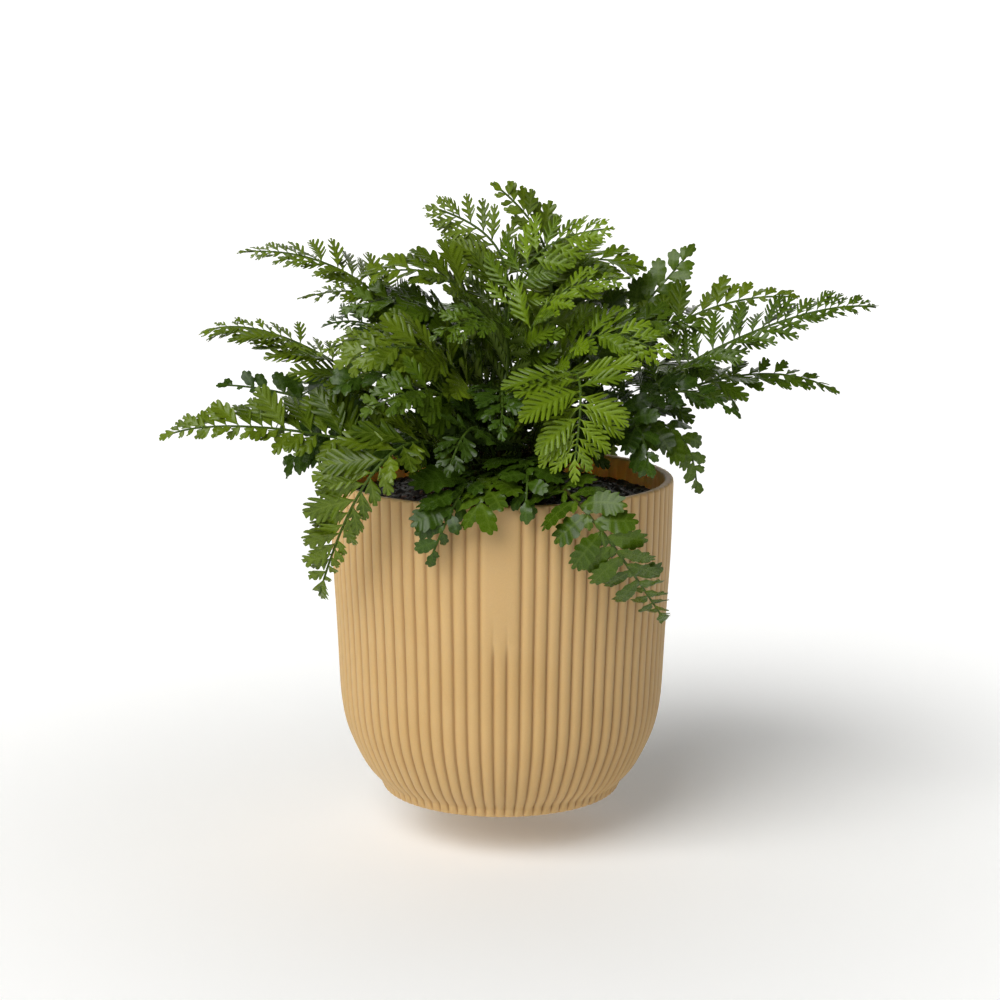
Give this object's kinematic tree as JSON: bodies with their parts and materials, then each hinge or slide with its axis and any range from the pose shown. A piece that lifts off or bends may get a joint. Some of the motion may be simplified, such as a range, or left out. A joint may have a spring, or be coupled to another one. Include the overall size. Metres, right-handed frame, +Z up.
{
  "type": "potted fern",
  "caption": "Leafy spleenwort fern with arching cut fronds, rooted in soil in a round ribbed plastic pot with a small foot and a smooth front panel.",
  "frame": {"origin": "centre of the pot's flat foot, on the surface that the pot stands on", "axes": "+Z up, -Y out of the pot's smooth front panel, +X to the right seen from the front"},
  "size_m": [0.2837, 0.2076, 0.2493],
  "materials": {
    "pot_plastic": "moulded butter-yellow plastic, fine matt texture",
    "potting_soil": "dark peat and bark crumbs, loose and slightly moist",
    "crown_scales": "brown papery scales over a woody crown",
    "leaf_fine": "young leaf, yellow-green, satin",
    "leaf_lobed": "mature leaf, mid green, satin",
    "leaf_broad": "old leaf, dark green, waxy gloss"
  },
  "bodies": {
    "root": {"pot": "pot_plastic", "soil": "potting_soil", "crown": "crown_scales", "frond_front_bright": "leaf_fine", "frond_front_right_droop": "leaf_broad", "frond_front_left_droop": "leaf_lobed", "frond_front_left_big": "leaf_lobed", "frond_left_long": "leaf_lobed", "frond_right_long": "leaf_fine", "frond_left_second": "leaf_fine", "frond_left_round": "leaf_broad", "frond_left_upper": "leaf_fine", "frond_left_upper_back": "leaf_fine", "frond_left_dark_back": "leaf_fine", "frond_top_left": "leaf_fine", "frond_top_spire": "leaf_lobed", "frond_top_right": "leaf_fine", "frond_upper_right_flat": "leaf_lobed", "frond_upper_left_flat": "leaf_lobed", "frond_right_up_broad": "leaf_broad", "frond_right_upper": "leaf_lobed", "frond_right_low": "leaf_lobed", "frond_right_low_broad": "leaf_broad", "frond_right_droop": "leaf_broad", "frond_front_centre_low": "leaf_broad", "frond_front_left_small": "leaf_broad", "frond_left_low_dark": "leaf_broad", "frond_centre_left_fine": "leaf_fine", "frond_centre_right_fine": "leaf_fine", "frond_front_left_lobed": "leaf_lobed", "frond_front_centre_dark": "leaf_lobed", "frond_front_right_arch": "leaf_fine", "frond_right_mid": "leaf_broad", "frond_right_back_broad": "leaf_lobed", "frond_left_mid_broad": "leaf_broad", "frond_centre_low_left": "leaf_broad", "frond_centre_low_right": "leaf_broad", "frond_centre_high_left": "leaf_lobed", "frond_centre_mid": "leaf_lobed", "frond_left_inner": "leaf_fine", "frond_back_middle": "leaf_fine", "frond_back_left": "leaf_lobed", "frond_back_right": "leaf_lobed", "frond_back_left_side": "leaf_broad", "frond_back_right_side": "leaf_lobed", "frond_back_low_left": "leaf_lobed", "frond_back_low_right": "leaf_broad", "frond_back_upright": "leaf_fine", "frond_back_upright_left": "leaf_lobed", "frond_back_upright_right": "leaf_lobed"}
  },
  "joints": []
}
